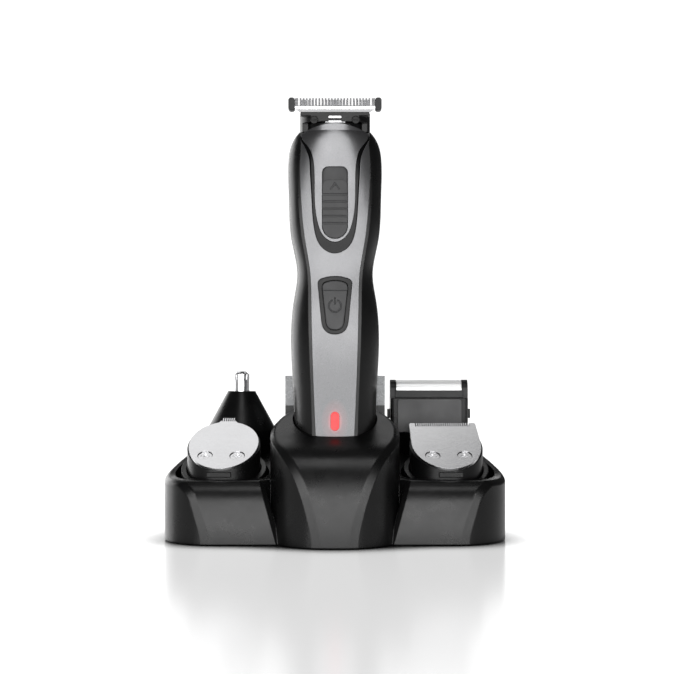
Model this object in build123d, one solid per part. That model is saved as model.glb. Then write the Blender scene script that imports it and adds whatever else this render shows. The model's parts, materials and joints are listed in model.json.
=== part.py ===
from build123d import *
import math
import os
from collections import namedtuple

# Beard trimmer docked upright in its charging stand, with four spare cutting heads and a guide comb.
# Millimetres. +Z is up, the trimmer's face looks along -Y, and the origin is the middle of the stand's
# footprint, on the surface it stands on.

# ---------------------------------------------------------------- driving dimensions: general fits
slide_gap = 0.2  # between pieces that slide past each other
seat_gap = 0.1  # under a piece that lifts off its seat
hidden = 0.5  # how far a cutting tool runs past the face it cuts

# ---------------------------------------------------------------- handset
# One horizontal section: height above the foot, half width, half width of the flat face, depth of the
# face's edge and of its middle in front of the axis, and depth behind the axis.
Section = namedtuple("Section", "z half_width face_half edge front back")
handset_sections = [
    Section(0.0, 14.9, 7.4, 11.6, 12.6, 12.0),
    Section(3.0, 15.7, 7.9, 12.4, 13.3, 12.7),
    Section(28.0, 17.4, 9.6, 14.2, 15.0, 14.0),
    Section(64.0, 18.8, 10.9, 14.6, 15.6, 15.0),
    Section(80.0, 17.5, 11.2, 13.5, 14.7, 13.8),
    Section(90.4, 16.1, 11.6, 12.4, 13.9, 12.9),
    Section(105.0, 18.5, 13.9, 11.6, 13.8, 13.2),
    Section(124.0, 19.7, 15.6, 10.6, 14.2, 14.0),
    Section(139.0, 19.8, 15.8, 9.5, 14.6, 14.4),
    Section(144.5, 18.9, 15.5, 8.8, 14.7, 14.5),
    Section(148.4, 17.1, 14.8, 8.1, 14.7, 14.5),
    Section(150.4, 15.5, 13.8, 7.6, 14.6, 14.4),
]
handset_height = handset_sections[-1].z
widest_y = 1.0  # the sections are widest just behind the axis
split_depth = 4.5  # the shells meet this far in front of the axis
rear_wall = 2.2
panel_thickness = 1.7  # the silver panels
front_wall = 1.5  # the black front shell under them
floor_wall = 2.4
top_wall = 2.2
panel_border = 1.3  # black edge left showing beside the silver panel
groove_depth = 0.9
face_foot = 8.0  # the silver panel starts this far above the foot

# silver shield round the slide switch, as (half width, height) down its right side
shield_top = 153.2
shield_side = [(14.3, 149.2), (13.9, 147.5), (10.8, 143.1), (9.3, 139.3), (8.7, 135.2), (8.5, 123.3),
               (7.1, 111.4), (4.7, 106.2)]
shield_foot = 103.7
# outer side of the groove round the shield
groove_side = [(14.7, 147.4), (12.1, 142.3), (11.0, 139.3), (10.6, 135.2), (9.9, 123.3), (8.7, 109.0),
               (6.0, 102.0)]
groove_foot = 98.9

# slide switch
slide_half = 5.4
slide_foot = 105.0
slide_top = 135.1
slide_corner = 2.6
slide_travel = 5.4
pad_rise = 0.9
pad_ribs = 5
pad_rib_pitch = 3.0
pad_rib_width = 0.75
pad_rib_depth = 0.6
pad_first_rib = 111.4
stem_half = 1.6
stem_height = 8.0

# power button: half widths near the top and bottom, and its heights
bezel_top = 89.4
bezel_shoulder = 86.0
bezel_half_top = 7.2
bezel_half_foot = 5.7
bezel_foot_centre = 70.8
bezel_ring = 1.8
button_travel = 0.8
button_rise = 0.7
icon_height = 77.0
icon_radius = 2.8
icon_line = 0.5
engraving = 0.3

# status lens
lens_width = 3.5
lens_height = 7.7
lens_centre = 28.9

# works inside the handset
motor_depth = 2.0  # the motor's axis lies this far behind the handset's axis
motor_radius = 8.0
motor_foot = 108.0
motor_length = 28.0
shaft_radius = 1.0
cam_radius = 3.6
cam_height = 4.0
cam_top = 150.0
cam_throw = 1.2
cam_pin_radius = 1.0
cam_pin_top = 156.7
cell_radius = 7.1
cell_length = 49.0
cell_foot = 33.0
board_thickness = 1.2
board_half = 6.5
board_depth = 9.0  # the board's front face, in front of the axis
board_foot = 22.0
board_top = 98.0
contact_spacing = 9.0
contact_radius = 1.8
case_screw_radius = 1.1
case_screw_head = 2.1

# ---------------------------------------------------------------- what every cutting head shares
collar_radius = 15.5
collar_recess = 3.8
spigot_radius = 12.5
spigot_height = 3.4
spigot_bore = 7.0
notch_radius = 12.0  # the lower front of every collar is open, to clear the shield
notch_back = 6.0

# ---------------------------------------------------------------- T-blade head
neck_radius = 14.9
neck_height = 8.4
neck_flat = 11.0  # the neck's front flat, in front of the axis
tee_half = 16.8
tee_height = 5.3
tee_thickness = 1.2
tee_teeth = 25
tee_tooth_depth = 3.6
tee_pitch = 1.31
tee_tooth = 0.72
tee_stroke = 1.2
arm_front = -9.0  # the moving blade's arm stands this far in front of the axis
arm_half = 4.6
yoke_half = 5.6
yoke_back = 7.2
spring_half = 4.2
mover_half = 14.6
mover_thickness = 0.9
mover_pitch = 1.45
mover_teeth = 20
tee_cap_outer = 19.5
tee_cap_thickness = 5.0
tee_screw_spacing = 17.4
tee_screw_radius = 1.5
tee_screw_height = 154.9
window_half = 2.6

# ---------------------------------------------------------------- stored heads with a slanted plate
slant = 30.0  # degrees between the cutting plate and the horizontal
head_yaw = 4.0  # degrees that the two front heads turn outward
plate_thickness = 1.2
plate_front_height = 8.7  # the plate's underside at the front of the collar, above the head's foot
plate_screw_radius = 3.2
plate_screw_spacing = 13.6
plate_screw_along = -9.0
tab_half = 5.0
cutter_thickness = 0.9
cutter_stroke = 1.0
strip_foot = 8.0  # the moving blade starts this far up the slope from the collar's axis
plate_half = 14.8
plate_reach = 17.0  # the plate's half length up the slope
plate_front_reach = 18.6  # and down it
detail_tip = 20.0
detail_tip_half = 2.7
detail_shoulder = 8.6
detail_teeth = 7
wide_half_top = 14.4
wide_tip = 16.0
wide_teeth = 26
tooth_pitch = 0.93
tooth_gap = 0.4
tooth_depth = 2.6

# ---------------------------------------------------------------- nose head
cone_foot = 14.7
cone_top = 31.9
cone_top_radius = 6.1
tube_radius = 3.4
tube_wall = 0.5
tube_top = 41.2
tube_slots = 4
tube_slot_width = 1.1
tube_slot_depth = 4.2
rotor_radius = 2.5

# ---------------------------------------------------------------- foil head
foil_half = 17.2
foil_depth = 9.0
foil_block_foot = 13.0
foil_block_top = 29.0
foil_top = 37.2
foil_post = 2.7
foil_post_drop = 4.5
foil_arch = 4.6
foil_thickness = 0.3
rail_height = 3.4
release_half_height = 2.0
release_out = 1.2
release_travel = 0.9

# ---------------------------------------------------------------- guide comb
comb_half = 21.8
comb_front = 12.4
comb_depth = 12.0
comb_foot = 32.0
comb_frame_top = 56.0
comb_top = 69.0
comb_wall = 1.5
comb_teeth = 13
comb_tooth = 1.1

# ---------------------------------------------------------------- stand
dock_y = -8.0
dock_seat = 22.0
tower_radius = 27.1
tower_y = -18.0
tower_slope = 0.43
tower_back = 9.0
tower_front = [(-44.0, 1.5), (-43.3, 13.0), (-40.9, 27.0), (-36.6, 36.4), (-30.8, 41.2), (-23.0, 44.7)]  # side view
pod_gap = 4.7  # from the tower's side to a front head's collar
pod_x = tower_radius + pod_gap + collar_radius
pod_margin = 9.5
pod_radius = collar_radius + pod_margin
pod_lean = [(8.7, 1.5), (7.4, 15.0), (4.1, 24.6)]  # side view: how far in front of the front collar, and height
pod_front = [(dock_y - collar_radius - reach, height) for reach, height in pod_lean]
pod_top = [(dock_y - collar_radius - 1.1, 26.6), (dock_y, 27.8), (5.0, 32.0), (22.0, 36.5), (60.0, 38.0)]
pod_rim = 27.8  # height of the pods' top beside the front heads' axis
rear_gap = 26.1  # from the stand's middle to a rear head's collar
row_gap = 2.0  # from a front collar's back to a rear collar's front
rear_x = collar_radius + rear_gap
rear_y = dock_y + 2 * collar_radius + row_gap
rear_margin = 3.5
rear_radius = collar_radius + rear_margin
front_seat = 22.0
rear_seat = 30.0
stand_wall = 2.2
apron_chamfer = 1.8
rim_round = 1.8
cup_wall = 2.1
cup_floor = 2.2
cup_clearance = 0.4
cup_rim = 30.4  # height of a front cup's slanted rim at its middle
cup_slope = 0.39
dock_clearance = 0.5
moat_margin = 4.4
moat_radius = collar_radius + moat_margin
moat_shift = 1.6
moat_depth = 9.0
foot_gap = 0.5  # the cover stops this far above the surface
base_thickness = 2.2
foot_radius = 5.0
board_seat = 7.0
pin_radius = 1.2
pin_travel = 1.0
jack_height = 13.0
jack_bore = 2.85
jack_bore_length = 5.0
jack_barrel = 4.4
jack_length = 13.0
bridge_back = rear_y + 13.0
bridge_front = -16.0
gore_foot = 22.5
gore_lean = 0.27


# ================================================================ helpers
def cylinder(radius, bottom, top, x=0.0, y=0.0):
    """An upright cylinder between two heights."""
    return Pos(x, y, (bottom + top) / 2) * Cylinder(radius, top - bottom)


def block(x_low, x_high, y_low, y_high, bottom, top):
    """A box between two corners."""
    middle = Pos((x_low + x_high) / 2, (y_low + y_high) / 2, (bottom + top) / 2)
    return middle * Box(x_high - x_low, y_high - y_low, top - bottom)


def front_prism(outline, y_front, y_back):
    """An outline drawn in front view, as (x, height), run from y_front back to y_back."""
    plane = Plane(origin=(0, y_back, 0), x_dir=(1, 0, 0), z_dir=(0, -1, 0))
    return extrude(plane * outline, amount=y_back - y_front)


def side_prism(outline, x_low, x_high):
    """An outline drawn in side view, as (y, height), run from x_low to x_high."""
    plane = Plane(origin=(x_low, 0, 0), x_dir=(0, 1, 0), z_dir=(1, 0, 0))
    return extrude(plane * outline, amount=x_high - x_low)


def rod(radius, start, end):
    """A round bar between two points."""
    axis = Vector(*end) - Vector(*start)
    plane = Plane(origin=start, z_dir=axis)
    return extrude(plane * Circle(radius), amount=axis.length)


def symmetric_face(right_edges):
    """A face from the edges of its right half, which start and end on the middle line."""
    left_edges = [mirror(edge, about=Plane.YZ) for edge in right_edges]
    return make_face(list(right_edges) + left_edges)


def below_slope(height, slope, y_at_height, size=200.0):
    """Everything under a plane that rises towards the back."""
    front, back = y_at_height - size, y_at_height + size
    outline = Polyline(
        (front, -size), (back, -size), (back, height + slope * size), (front, height - slope * size), close=True
    )
    return side_prism(make_face(outline), -size, size)


def only(shape, bottom, top, reach=120.0):
    """The part of a shape between two heights."""
    return shape & block(-reach, reach, -reach, reach, bottom, top)


def solids_of(shape):
    """A shape's solids as one compound, for a node of several pieces."""
    return Compound(children=list(shape.solids()))


# ================================================================ handset body
def handset_wire(section, inset):
    """One horizontal section of the handset, drawn in by an inset: a crowned face and a rounded back."""
    half = section.half_width - inset
    back = section.back - inset
    face = section.face_half - 0.7 * inset
    edge = section.edge - 0.8 * inset
    crown = 2 * (section.front - inset) - edge
    corner = (face, -edge)
    corner_pull = (face + 0.55 * (half - face), -0.8 * edge)
    widest = (half, widest_y)
    back_pull = widest_y + 0.58 * (back - widest_y)
    right = [
        [corner, corner_pull, (half, -0.45 * edge), widest],
        [widest, (half, back_pull), (0.56 * half, back), (0, back)],
    ]
    left = [[(-x, y) for x, y in reversed(points)] for points in reversed(right)]
    edges = [Bezier((-face, -edge), (0, -crown), corner)]
    edges += [Bezier(*points) for points in right + left]
    return Wire(edges).moved(Location((0, 0, section.z)))


handset_cache = {}


def handset_body(inset=0.0):
    """The handset's outer form, drawn in by an inset."""
    if inset not in handset_cache:
        handset_cache[inset] = Solid.make_loft([handset_wire(section, inset) for section in handset_sections])
    return handset_cache[inset]


def skin(outline, outer, inner):
    """A piece of the handset's face: an outline in front view, between two depths under the surface."""
    return (front_prism(outline, -30, 0) & handset_body(outer)) - handset_body(inner)


def panel_edge_points():
    """The silver panel's right edge, a border in from the face's edge."""
    return [(s.face_half - panel_border, s.z) for s in handset_sections[2:-2]]


def bowl(right_side, foot):
    """A smooth curve down the right side, round the foot and up the left side."""
    left_side = [(-x, z) for x, z in reversed(right_side)]
    return Spline(*right_side, (0, foot), *left_side)


def shield_outline():
    """The shield round the slide switch; its top is an arc that stands above the shoulder."""
    half, shoulder = shield_side[0]
    top = ThreePointArc((-half, shoulder), (0, shield_top), (half, shoulder))
    return make_face([top, bowl(shield_side, shield_foot)])


def groove_outline():
    """The shield with the groove round it."""
    half, shoulder = groove_side[0]
    high = handset_height + 6
    top = Polyline((-half, shoulder), (-half, high), (half, high), (half, shoulder))
    return make_face(top.edges() + [bowl(groove_side, groove_foot)])


def panel_outline():
    """The whole silver face, from near the foot up to the shoulder."""
    points = panel_edge_points()
    foot = (points[0][0] - 1.0, face_foot)
    side = Spline(foot, *points, (shield_side[0][0] + 0.4, shield_side[0][1] + 0.4))
    high_right = ((side @ 1).X, handset_height + 6)
    right = [Line((0, high_right[1]), high_right), Line(high_right, side @ 1), side, Line(foot, (0, face_foot))]
    return symmetric_face(right)


def slide_window(shrink=0.0, top=None):
    """The slide switch's window: a round foot and softly rounded top corners."""
    half = slide_half - shrink
    high = (slide_top if top is None else top) - shrink
    low = slide_foot + slide_half
    corner = slide_corner - shrink
    right = [
        Line((0, high), (half - corner, high)),
        RadiusArc((half - corner, high), (half, high - corner), corner),
        Line((half, high - corner), (half, low)),
        RadiusArc((half, low), (0, slide_foot + shrink), half),
    ]
    return symmetric_face(right)


def bezel_outline(shrink=0.0):
    """The power button's outline: a shield shape with a crowned top and a round foot."""
    top_half = bezel_half_top - shrink
    foot_half = bezel_half_foot - shrink
    corner = max(2.4 - shrink / 2, 0.8)
    shoulder = bezel_shoulder - shrink
    crown = bezel_top - shrink
    right = [
        ThreePointArc((0, crown), ((top_half - corner) / 2, crown - 0.15), (top_half - corner, crown - 0.7)),
        Spline((top_half - corner, crown - 0.7), (top_half, shoulder), tangents=[(1, -0.22), (-0.1, -1)]),
        Line((top_half, shoulder), (foot_half, bezel_foot_centre)),
        Spline((foot_half, bezel_foot_centre), (0, bezel_foot_centre - foot_half), tangents=[(-0.1, -1), (-1, 0)]),
    ]
    return symmetric_face(right)


def lens_outline(grow=0.0):
    width = lens_width + 2 * grow
    return Pos(0, lens_centre) * SlotOverall(lens_height + 2 * grow, width, rotation=90)


def case_screw_places():
    """Where the case screws pass, as (x, z)."""
    return [(-9.5, 20.0), (9.5, 20.0), (-10.5, 101.0), (10.5, 101.0)]


def rear_shell():
    shell = handset_body() - only(handset_body(rear_wall), floor_wall, handset_height - top_wall)
    shell = shell & block(-40, 40, -split_depth, 40, -1, handset_height + 1)
    for x, z in case_screw_places():
        boss = rod(2.4, (x, -split_depth, z), (x, 20, z)) & handset_body(rear_wall / 2)
        hole = rod(case_screw_radius + 0.1, (x, -split_depth - 1, z), (x, 30, z))
        head = rod(case_screw_head + 0.1, (x, 7.0, z), (x, 30, z))
        shell = shell + boss - hole - head
    shell = shell - spigot_hole() - contact_holes()
    return shell


def front_shell():
    inner = panel_thickness + front_wall
    shell = handset_body() - only(handset_body(inner), floor_wall, handset_height - top_wall)
    shell = shell & block(-40, 40, -40, -split_depth, -1, handset_height + 1)
    shell = shell - face_pocket() - spigot_hole() - contact_holes()
    slot_top = slide_foot + slide_half + stem_height + slide_travel + 1
    shell = shell - block(-stem_half - 0.3, stem_half + 0.3, -30, 0, slide_foot + slide_half - 0.6, slot_top)
    plunger = rod(2.2, (0, -30, icon_height), (0, 0, icon_height))
    lens_hole = front_prism(lens_outline(slide_gap / 4), -30, 0)
    shell = shell - plunger - lens_hole
    for x, z in case_screw_places():
        shell = shell - rod(case_screw_radius - 0.1, (x, -split_depth - 3, z), (x, 0, z))
    return shell


def face_pocket():
    """What the silver face and its inlays take out of the front shell."""
    return front_prism(panel_outline(), -30, 0) - handset_body(panel_thickness) + shield_lip()


def spigot_hole():
    return cylinder(spigot_bore + 2.4, handset_height - top_wall - 1, handset_height + 1)


def contact_holes():
    pads = [cylinder(contact_radius + 0.1, -1, floor_wall + 1, x) for x in contact_places()]
    return pads[0] + pads[1]


def contact_places():
    return [-contact_spacing / 2, contact_spacing / 2]


def face_panel():
    panel = skin(panel_outline(), 0, panel_thickness) - front_prism(groove_outline(), -30, 0)
    panel = panel - front_prism(bezel_outline(), -30, 0) - front_prism(lens_outline(slide_gap / 4), -30, 0)
    return panel


def groove_trim():
    """Dark glossy liner on the floor of the groove round the shield."""
    floor = skin(groove_outline(), groove_depth, panel_thickness)
    floor = floor & block(-40, 40, -40, 0, 0, handset_height - 3)
    return (floor & front_prism(panel_outline(), -30, 0)) - front_prism(shield_outline(), -30, 0)


def shield_lip():
    """The top of the shield, which stands up alone in front of the head's neck."""
    top_section = handset_sections[-1]
    outer = extrude(Pos(0, 0, -0.3) * Face(handset_wire(top_section, 0)), amount=6)
    inner = extrude(Pos(0, 0, -1) * Face(handset_wire(top_section, panel_thickness)), amount=8)
    return (outer - inner) & front_prism(shield_outline(), -30, 0)


def shield_panel():
    """The silver shield round the slide switch."""
    body = skin(shield_outline(), 0, panel_thickness)
    return body + shield_lip() - front_prism(slide_window(), -30, 0)


def slide_track():
    """Grey floor of the slide switch's window, with a slot for the stem."""
    floor = skin(slide_window(), panel_thickness - 0.4, panel_thickness)
    slot_top = slide_foot + slide_half + stem_height + slide_travel + 1
    return floor - block(-stem_half - 0.3, stem_half + 0.3, -30, 0, slide_foot + slide_half - 0.6, slot_top)


def slide_pad():
    outline = slide_window(slide_gap, slide_top - slide_travel)
    pad = skin(outline, -pad_rise, panel_thickness - 0.4 - slide_gap)
    for i in range(pad_ribs):
        height = pad_first_rib + i * pad_rib_pitch
        line = block(-slide_half, slide_half, -30, 0, height - pad_rib_width / 2, height + pad_rib_width / 2)
        pad = pad - (line - handset_body(pad_rib_depth - pad_rise))
    arrow_z = pad_first_rib + pad_ribs * pad_rib_pitch - 0.9
    arrow = [(-2.2, arrow_z), (0, arrow_z + 3.1), (2.2, arrow_z), (1.5, arrow_z), (0, arrow_z + 2.1), (-1.5, arrow_z)]
    pad = pad - (front_prism(make_face(Polyline(*arrow, close=True)), -30, 0) - handset_body(engraving - pad_rise))
    stem_foot = slide_foot + slide_half
    stem = block(-stem_half, stem_half, -13.6, -9.6, stem_foot, stem_foot + stem_height)
    return pad + stem


def slide_carriage():
    """Slider behind the front shell that the pad's stem snaps into."""
    foot = slide_foot + slide_half
    return block(-4.5, 4.5, -9.6, -8.0, foot - 1.5, foot + stem_height + 1.5)


def button_bezel():
    return skin(bezel_outline(), -0.2, panel_thickness) - front_prism(bezel_outline(bezel_ring), -30, 0)


def power_button():
    outline = bezel_outline(bezel_ring + slide_gap)
    button = skin(outline, -button_rise, panel_thickness - button_travel - 0.1)
    upper = front_prism(Pos(0, bezel_top) * Rectangle(20, 2 * (bezel_top - step_height())), -30, 0)
    button = button - (upper - handset_body(-button_rise + 0.3))
    icon = front_prism(power_icon(), -30, 0)
    button = button - (icon - handset_body(engraving - button_rise))
    plunger = rod(1.8, (0, -14.8, icon_height), (0, board_switch_front() - 0.15 - button_travel, icon_height))
    return button + plunger


def step_height():
    """Where the button's upper step ends."""
    return bezel_top - bezel_ring - 4.2


def power_icon():
    """A ring open at the top with a bar in the gap."""
    ring = Circle(icon_radius) - Circle(icon_radius - icon_line) - Pos(0, icon_radius) * Rectangle(2.0, 2.0)
    bar = Pos(0, icon_radius * 0.72) * Rectangle(icon_line, icon_radius)
    return Pos(0, icon_height) * (ring + bar)


def status_lens():
    cap = skin(lens_outline(), -0.1, panel_thickness)
    light_pipe = front_prism(lens_outline(-0.4), -14.0, -board_depth - 0.8) & handset_body(panel_thickness)
    return cap + light_pipe


def board_switch_front():
    return -board_depth - 1.2


# ================================================================ works inside the handset
def chassis():
    """Moulded frame that carries the cell and the motor."""
    floor = -board_depth + board_thickness + 0.2
    wall = block(-8.6, 8.6, floor, floor + 1.2, cell_foot - 6, board_top + 2)
    ring_low = motor_foot - 1.5
    ring = cylinder(motor_radius + 0.8, ring_low, ring_low + 10, 0, motor_depth)
    ring = ring - cylinder(motor_radius, ring_low + 1.5, ring_low + 30, 0, motor_depth)
    ring = ring - cylinder(3.0, ring_low - 1, ring_low + 3, 0, motor_depth)
    web = block(-4.0, 4.0, floor, floor + 1.2, board_top, ring_low + 3)
    link = block(-4.0, 4.0, floor, motor_depth - motor_radius + 1.5, ring_low, ring_low + 1.5)
    return wall + web + link + ring


def battery_cell():
    body = cylinder(cell_radius, cell_foot, cell_foot + cell_length, 0, motor_depth)
    nub = cylinder(2.6, cell_foot + cell_length, cell_foot + cell_length + 1.2, 0, motor_depth)
    return body + nub


def cell_contacts():
    """Spring strips at the two ends of the cell."""
    low = block(-4, 4, motor_depth - 4, motor_depth + 4, cell_foot - 1.0, cell_foot - 0.2)
    top = cell_foot + cell_length + 1.3
    high = block(-4, 4, motor_depth - 4, motor_depth + 4, top, top + 0.6)
    return solids_of(low + high)


def circuit_board():
    return block(-board_half, board_half, -board_depth, -board_depth + board_thickness, board_foot, board_top)


def tact_switch():
    body = block(-3, 3, -board_depth - 0.8, -board_depth, icon_height - 3, icon_height + 3)
    dome = rod(1.6, (0, -board_depth - 0.8, icon_height), (0, board_switch_front(), icon_height))
    return body + dome


def motor_can():
    body = cylinder(motor_radius - 0.05, motor_foot, motor_foot + motor_length, 0, motor_depth)
    boss = cylinder(3.0, motor_foot + motor_length, motor_foot + motor_length + 1.5, 0, motor_depth)
    bore = cylinder(shaft_radius + 0.1, motor_foot + motor_length - 8, motor_foot + motor_length + 5, 0, motor_depth)
    return body + boss - bore


def motor_cam():
    """Shaft with a cam disc whose pin stands off-centre."""
    shaft = cylinder(shaft_radius, motor_foot + motor_length - 7.5, cam_top, 0, motor_depth)
    disc = cylinder(cam_radius, cam_top - cam_height, cam_top, 0, motor_depth)
    pin = cylinder(cam_pin_radius, cam_top, cam_pin_top, cam_throw, motor_depth)
    return shaft + disc + pin


def neck_collar():
    """Spigot that the heads seat on, with a tube down to the motor."""
    spigot = cylinder(spigot_radius, handset_height, handset_height + spigot_height)
    tube = cylinder(spigot_bore + 2.4, handset_height - top_wall, handset_height)
    return spigot + tube - cylinder(spigot_bore, 0, handset_height + 10)


def charge_contacts():
    pads = [cylinder(contact_radius, 0.5, floor_wall + 0.8, x) for x in contact_places()]
    return solids_of(pads[0] + pads[1])


def case_screws():
    screws = Part()
    for x, z in case_screw_places():
        shank = rod(case_screw_radius - 0.1, (x, -split_depth - 2.8, z), (x, 7.2, z))
        head = rod(case_screw_head, (x, 7.05, z), (x, 8.8, z))
        slot = block(x - 0.3, x + 0.3, 8.2, 9.0, z - 1.4, z + 1.4) + block(x - 1.4, x + 1.4, 8.2, 9.0, z - 0.3, z + 0.3)
        screws = screws + (shank + head - slot)
    return solids_of(screws)


# ================================================================ T-blade head
def collar_base(radius, height):
    """Round collar of a head: a recess under it for the spigot, and a front notch for the shield."""
    collar = cylinder(radius, seat_gap, height)
    recess = cylinder(spigot_radius + slide_gap, -1, collar_recess + seat_gap)
    ring = cylinder(radius + 3, -1, collar_recess) - cylinder(notch_radius, -2, collar_recess + 1)
    front_half = block(-30, 30, -30, -notch_back, -1, collar_recess)
    return collar - recess - (ring & front_half)


def tee_housing():
    low = handset_height
    neck = Pos(0, 0, low) * collar_base(neck_radius, neck_height)
    neck = neck - block(-30, 30, -30, -neck_flat, 0, low + 30)
    bar_top = low + neck_height + 0.9
    bar_half = neck_radius - 0.5
    bar = block(-bar_half, bar_half, -neck_flat, -neck_flat + 4.6, bar_top - 2.9, bar_top)
    housing = neck + bar - yoke_room()
    for bottom, top in window_heights():
        housing = housing - block(-window_half, window_half, -neck_flat - 1, arm_front, bottom, top)
    for x in (-tee_screw_spacing / 2, tee_screw_spacing / 2):
        start = (x, -neck_flat - 1, tee_screw_height)
        housing = housing - rod(tee_screw_radius + 0.15, start, (x, -neck_flat + 0.5, tee_screw_height))
        housing = housing - rod(0.9, start, (x, -neck_flat + 4.0, tee_screw_height))
    return housing


def yoke_room():
    """Room in the T-blade head for the yoke, the cam's pin, the spring strip and the blade's arm."""
    yoke_low, yoke_high = yoke_heights()
    swing = yoke_half + tee_stroke + 0.6
    room = block(-swing, swing, arm_front - 0.3, yoke_back + 0.6, yoke_low - 0.3, yoke_high + 0.4)
    pin_hole = cylinder(cam_throw + cam_pin_radius + 1.0, handset_height, yoke_low, 0, motor_depth)
    arm_swing = arm_half + tee_stroke + 0.4
    gate = block(-arm_swing, arm_swing, arm_front - 0.3, arm_front + mover_thickness + 0.4, yoke_low - 0.3, 200)
    strip_low, strip_high = spring_heights()
    strip = block(-spring_half - 0.1, spring_half + 0.1, -neck_flat + 1.2, arm_front, strip_low, strip_high)
    return room + pin_hole + gate + strip


def yoke_heights():
    low = handset_height + collar_recess + 1.3
    return low, low + 1.7


def spring_heights():
    return window_heights()[0][0], handset_height + neck_height - 0.4


def window_heights():
    return [(154.0, 154.8), (155.8, 156.8)]


def comb_slots(count, pitch, gap, depth, tip, y_front, y_back):
    """The gaps between a blade's teeth, cut down from its tip."""
    slots = Part()
    for i in range(count - 1):
        x = (i - (count - 2) / 2) * pitch
        slots = slots + block(x - gap / 2, x + gap / 2, y_front - 1, y_back + 1, tip - depth, tip + 1)
    return slots


def tee_blade_foot():
    return handset_height + neck_height + 0.3 - 0.4


def tee_fixed_blade():
    low = tee_blade_foot()
    top = low + tee_height
    front, back = -neck_flat - tee_thickness, -neck_flat
    outline = Polyline(
        (0, top), (tee_half, top), (tee_half, low + 0.9), (tee_half - 2.0, low - 0.5), (0, low - 0.5)
    )
    plate = front_prism(symmetric_face(outline.edges()), front, back)
    bevel = side_prism(
        make_face(Polyline((front - 1, top + 1), (front + 0.75, top + 1), (front, top - tee_tooth_depth),
                           (front - 1, top - tee_tooth_depth), close=True)), -30, 30)
    lower = side_prism(
        make_face(Polyline((front - 1, low + 0.7), (front, low + 0.7), (front + 0.8, low - 1.2),
                           (front - 1, low - 1.2), close=True)), -30, 30)
    slots = comb_slots(tee_teeth, tee_pitch, tee_pitch - tee_tooth, tee_tooth_depth - 0.4, top, front, back)
    return plate - bevel - lower - slots


def tee_moving_blade():
    """Moving blade behind the fixed one, with the yoke that the cam's pin runs in."""
    low = tee_blade_foot()
    top = low + tee_height - 0.6
    front = -neck_flat + 0.05
    back = front + mover_thickness
    blade = block(-mover_half, mover_half, front, back, low + 1.4, top)
    slots = comb_slots(mover_teeth, mover_pitch, mover_pitch - 0.8, 2.4, top, front, back)
    yoke_low, yoke_high = yoke_heights()
    arm_back = arm_front + mover_thickness
    arm = block(-arm_half, arm_half, arm_front, arm_back, yoke_low, low + 2.4)
    bridge = block(-arm_half, arm_half, front, arm_back, low + 1.5, low + 2.4)
    yoke = block(-yoke_half, yoke_half, arm_front, yoke_back, yoke_low, yoke_high)
    half_slot = cam_pin_radius + cam_throw + tee_stroke + 0.1
    slot = block(-half_slot, half_slot, motor_depth - half_slot, motor_depth + half_slot, 0, 200)
    return blade - slots + arm + bridge + (yoke - slot)


def tee_end_caps():
    low = tee_blade_foot()
    top = low + tee_height + 0.1
    caps = Part()
    for side in (-1, 1):
        middle = side * (tee_half + tee_cap_outer) / 2
        shape = Pos(middle, (low + top) / 2) * RectangleRounded(tee_cap_outer - tee_half, top - low, 1.1)
        caps = caps + front_prism(shape, -neck_flat - tee_thickness - 0.5, -neck_flat + tee_cap_thickness - 1.5)
    return solids_of(caps)


def tee_spring_plate():
    """Bright spring strip seen through the two windows."""
    low, high = spring_heights()
    return block(-spring_half, spring_half, -neck_flat + 1.2, -neck_flat + 1.6, low, high)


def tee_screws():
    screws = Part()
    for x in (-tee_screw_spacing / 2, tee_screw_spacing / 2):
        head = rod(tee_screw_radius, (x, -neck_flat - 0.35, tee_screw_height), (x, -neck_flat + 0.5, tee_screw_height))
        shank = rod(0.85, (x, -neck_flat + 0.5, tee_screw_height), (x, -neck_flat + 3.8, tee_screw_height))
        slot = block(x - 1.1, x + 1.1, -neck_flat - 1, -neck_flat - 0.05, tee_screw_height - 0.25,
                     tee_screw_height + 0.25)
        screws = screws + (head + shank - slot)
    return solids_of(screws)


# ================================================================ stored heads with slanted plates
def plate_plane():
    """Plane of a slanted plate's underside; its y runs up the slope, and its origin is on the collar's axis."""
    rise = plate_front_height + collar_radius * math.tan(math.radians(slant))
    angle = math.radians(slant)
    return Plane(origin=(0, 0, rise), x_dir=(1, 0, 0), z_dir=(0, -math.sin(angle), math.cos(angle)))


def slanted_housing():
    """Collar cut off on the slant, with a rounded tab at its front foot and a cavity under the cutter."""
    collar = collar_base(collar_radius, 40)
    above = extrude(plate_plane() * Rectangle(200, 200), amount=100)
    body = collar - above
    tab_z = collar_recess + 0.4
    tab = block(-tab_half, tab_half, -collar_radius - 0.5, -collar_radius + 2, tab_z + 1.4, tab_z + 3.4)
    cavity = extrude(plate_plane() * Pos(0, 5.5) * Rectangle(2 * (9.0 + cutter_stroke), 9.5), amount=-3.0)
    return body + tab - cavity


def plate_screw_places():
    return [(-plate_screw_spacing / 2, plate_screw_along), (plate_screw_spacing / 2, plate_screw_along)]


def finish_plate(outline, teeth, teeth_tip):
    """A cutting plate: screw dishes near its foot and teeth cut in its tip."""
    plate = extrude(plate_plane() * outline, amount=plate_thickness)
    for x, along in plate_screw_places():
        plate = plate - extrude(plate_plane() * Pos(x, along) * Circle(plate_screw_radius), amount=3)
    gaps = Sketch()
    for i in range(teeth):
        x = (i - (teeth - 1) / 2) * tooth_pitch
        gaps = gaps + Pos(x, teeth_tip - tooth_depth / 2 + hidden) * Rectangle(tooth_gap, tooth_depth + 2 * hidden)
    below = extrude(plate_plane() * gaps, amount=-3)
    above = extrude(plate_plane() * gaps, amount=3)
    return plate - below - above


def plate_front():
    """The round front half of a plate, down the slope."""
    return Ellipse(plate_half, plate_front_reach) & Pos(0, -50) * Rectangle(60, 100)


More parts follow.
